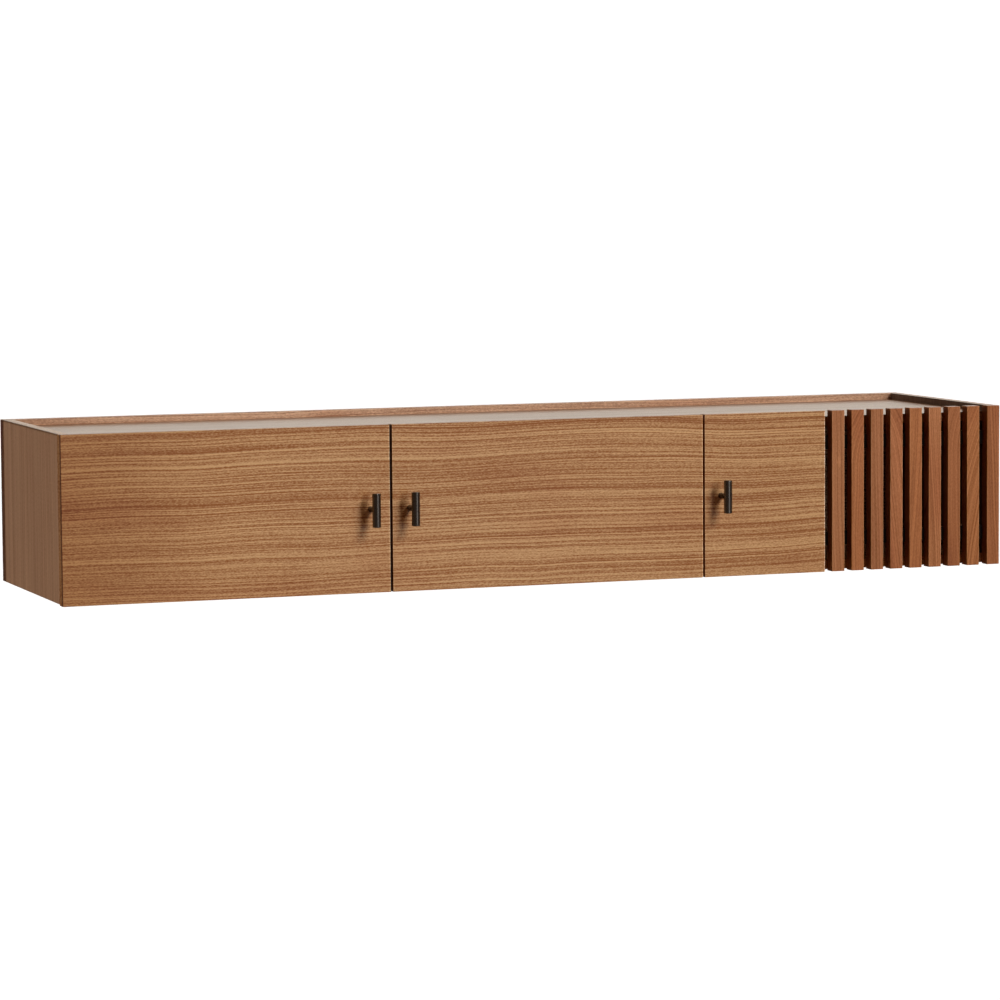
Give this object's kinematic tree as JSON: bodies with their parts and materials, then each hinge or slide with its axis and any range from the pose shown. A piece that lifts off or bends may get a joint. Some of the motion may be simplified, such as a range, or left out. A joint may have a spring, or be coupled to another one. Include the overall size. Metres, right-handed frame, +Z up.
{
  "type": "floating media console",
  "caption": "Wall-hung walnut media console with flat doors and a half-slatted door on concealed hinges, black bar handles, a sunk top and a wall cleat.",
  "frame": {"origin": "on the wall plane, at the middle of the line of screw holes in the wall cleat", "axes": "+X along the console to the viewer's right, +Y into the wall, +Z up"},
  "size_m": [1.8, 0.4895, 0.298],
  "materials": {
    "walnut_veneer": "satin lacquer, grain across",
    "walnut_solid": "satin lacquer, upright grain",
    "walnut_carcase": "satin lacquer",
    "dark_walnut": "satin lacquer",
    "black_paint": "fine matt powder coat",
    "black_steel": "matt",
    "bright_steel": "satin",
    "zinc": "cast",
    "soft_rubber": "matt",
    "black_plastic": "matt",
    "beech": "raw",
    "cleat_aluminium": "mill"
  },
  "bodies": {
    "carcase": {"side_panel_left": "walnut_carcase", "side_panel_right": "walnut_carcase", "top_panel": "dark_walnut", "bottom_panel": "dark_walnut", "partition_left": "dark_walnut", "partition_right": "dark_walnut", "back_panel": "walnut_carcase", "cable_grommets": "black_plastic", "panel_dowels": "beech", "cam_locks": "zinc", "cam_bolts": "bright_steel", "back_screws": "bright_steel", "wall_cleat": "cleat_aluminium", "cabinet_cleat": "cleat_aluminium", "cleat_screws": "bright_steel", "hinge_arms_left": "bright_steel", "hinge_plates_left": "bright_steel", "hinge_plate_screws_left": "bright_steel", "hinge_arms_centre": "bright_steel", "hinge_plates_centre": "bright_steel", "hinge_plate_screws_centre": "bright_steel", "hinge_arms_right": "bright_steel", "hinge_plates_right": "bright_steel", "hinge_plate_screws_right": "bright_steel"},
    "door_left": {"door_panel_left": "walnut_veneer", "handle_bar_left": "black_paint", "handle_post_left": "black_paint", "handle_screw_left": "bright_steel", "bumpers_left": "soft_rubber", "hinge_cups_left": "bright_steel", "hinge_cup_screws_left": "bright_steel"},
    "door_centre": {"door_panel_centre": "walnut_veneer", "handle_bar_centre": "black_paint", "handle_post_centre": "black_paint", "handle_screw_centre": "bright_steel", "bumpers_centre": "soft_rubber", "hinge_cups_centre": "bright_steel", "hinge_cup_screws_centre": "bright_steel"},
    "door_right": {"door_panel_right": "walnut_veneer", "slat_1": "walnut_solid", "slat_2": "walnut_solid", "slat_3": "walnut_solid", "slat_4": "walnut_solid", "slat_5": "walnut_solid", "slat_6": "walnut_solid", "slat_7": "walnut_solid", "slat_8": "walnut_solid", "slat_9": "walnut_solid", "slat_strap_lower": "black_steel", "slat_strap_upper": "black_steel", "strap_screws": "bright_steel", "hinge_wings_right": "black_steel", "hinge_wing_rivets": "bright_steel", "handle_bar_right": "black_paint", "handle_post_right": "black_paint", "handle_screw_right": "bright_steel", "bumpers_right": "soft_rubber"}
  },
  "joints": [
    {"name": "door_left_hinge", "type": "hinge", "parent": "carcase", "child": "door_left", "pos_m": [-0.9, -0.45, 0], "axis": [0, 0, -1], "range_deg": [0, 95]},
    {"name": "door_centre_hinge", "type": "hinge", "parent": "carcase", "child": "door_centre", "pos_m": [0.29825, -0.45, 0], "axis": [0, 0, 1], "range_deg": [0, 95]},
    {"name": "door_right_hinge", "type": "hinge", "parent": "carcase", "child": "door_right", "pos_m": [0.9, -0.45, 0], "axis": [0, 0, 1], "range_deg": [0, 95]}
  ]
}
